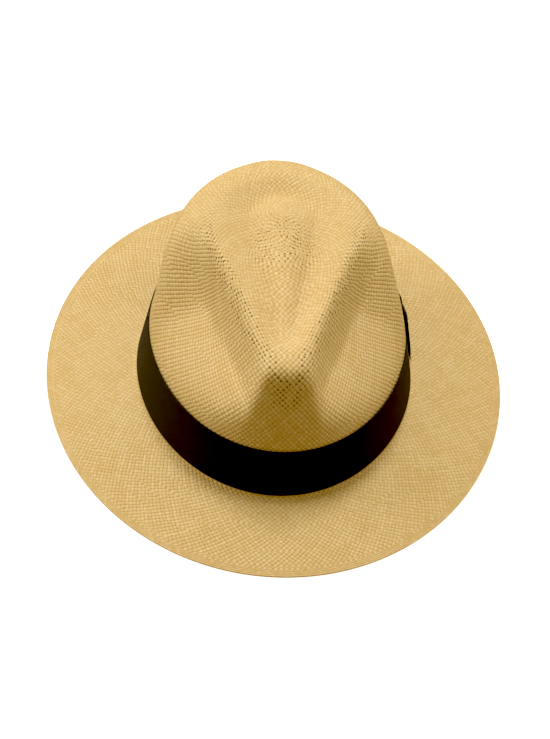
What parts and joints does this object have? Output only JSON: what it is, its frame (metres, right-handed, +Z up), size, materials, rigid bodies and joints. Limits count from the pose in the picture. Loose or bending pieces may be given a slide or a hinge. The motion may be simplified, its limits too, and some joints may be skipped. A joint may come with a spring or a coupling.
{
  "type": "panama hat",
  "caption": "Woven straw hat with a teardrop crown pinched at the front, a medium brim, a ribbon band with a flat side bow and an inner sweatband.",
  "frame": {"origin": "centre of the head opening, level with the foot of the crown at its front and back", "axes": "+Z up through the crown, -Y towards the front of the hat, +X towards the wearer's left, where the bow sits"},
  "size_m": [0.2784, 0.3031, 0.1174],
  "materials": {
    "straw": "woven natural straw",
    "ribbon": "ribbed grosgrain, matte",
    "ribbon_thread": "sewing thread",
    "sweatband_leather": "smooth, semi-matte",
    "reed_cloth": "plain cotton tape",
    "sweatband_thread": "sewing thread"
  },
  "bodies": {
    "root": {"hat_body": "straw", "hat_band": "ribbon", "band_tacks": "ribbon_thread", "bow_tail": "ribbon", "bow_loop": "ribbon", "bow_knot": "ribbon", "bow_tacks": "ribbon_thread", "sweatband": "sweatband_leather", "sweatband_reed": "reed_cloth", "sweatband_joint_tape": "reed_cloth", "sweatband_stitches": "sweatband_thread", "tape_stitches": "sweatband_thread"}
  },
  "joints": []
}
